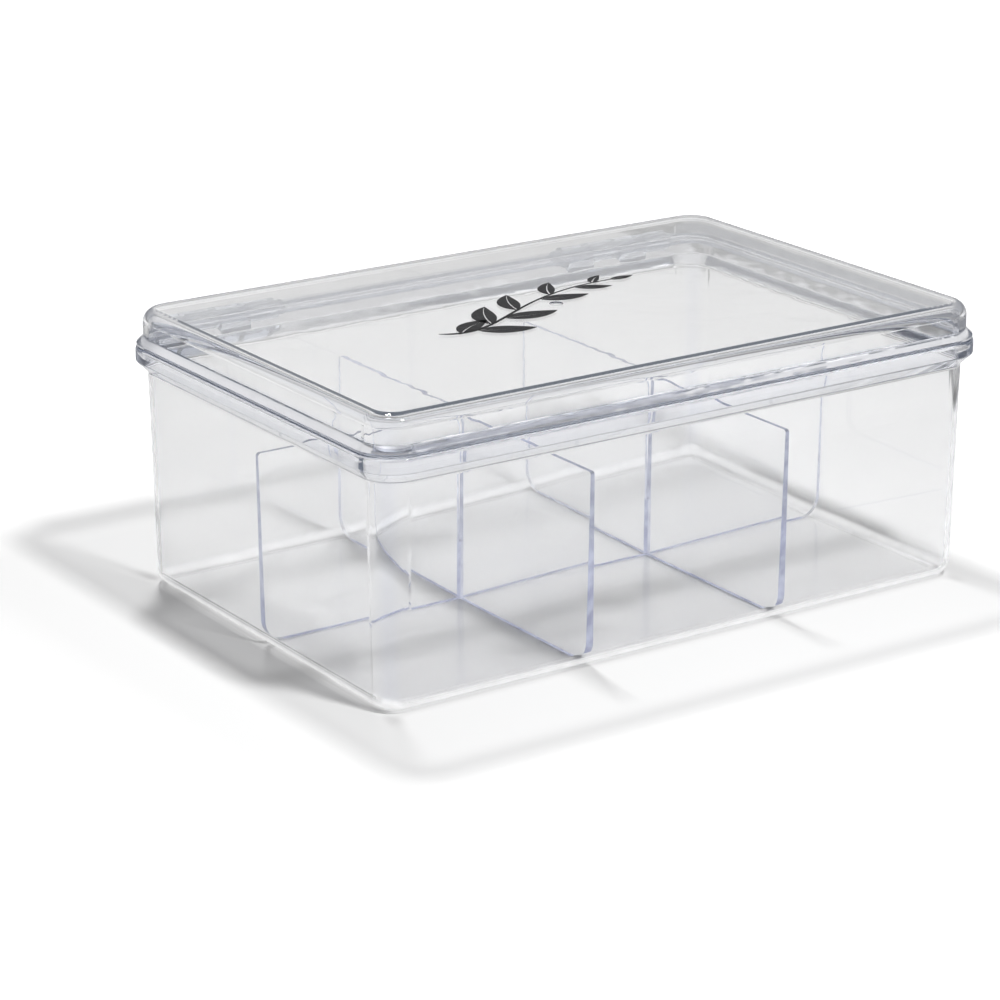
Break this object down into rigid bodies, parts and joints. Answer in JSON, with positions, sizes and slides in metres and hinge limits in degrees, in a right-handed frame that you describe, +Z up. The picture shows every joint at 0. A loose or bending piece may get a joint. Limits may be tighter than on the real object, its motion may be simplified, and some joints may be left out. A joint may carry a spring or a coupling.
{
  "type": "tea bag organizer box",
  "caption": "Clear plastic tea bag box with a hinged domed lid and lift-out half-lapped dividers that part it into compartments.",
  "frame": {"origin": "on the surface the box stands on, in the middle of the tub's foot and of the rim above it", "axes": "+X along the long side, to the right; +Y to the back, where the hinges are; +Z up"},
  "size_m": [0.2286, 0.1605, 0.0915],
  "materials": {
    "clear_tub": "clear gloss",
    "clear_lid": "clear gloss",
    "clear_divider": "clear gloss",
    "clear_pin": "clear gloss",
    "black_print": "thin black print on the lid"
  },
  "bodies": {
    "tub": {"tub": "clear_tub", "left_hinge_pin": "clear_pin", "right_hinge_pin": "clear_pin"},
    "lid": {"lid": "clear_lid"},
    "long_divider": {"long_divider": "clear_divider"},
    "left_cross_divider": {"left_cross_divider": "clear_divider"},
    "right_cross_divider": {"right_cross_divider": "clear_divider"}
  },
  "joints": [
    {"name": "lid_hinge", "type": "hinge", "parent": "tub", "child": "lid", "pos_m": [0, 0.0799, 0.0795], "axis": [-1, 0, 0], "range_deg": [0, 110]},
    {"name": "long_divider_lift", "type": "slide", "parent": "tub", "child": "long_divider", "axis": [0, 0, 1], "range_m": [0, 0.012]},
    {"name": "left_cross_divider_lift", "type": "slide", "parent": "long_divider", "child": "left_cross_divider", "axis": [0, 0, 1], "range_m": [0, 0.012]},
    {"name": "right_cross_divider_lift", "type": "slide", "parent": "long_divider", "child": "right_cross_divider", "axis": [0, 0, 1], "range_m": [0, 0.012]}
  ]
}
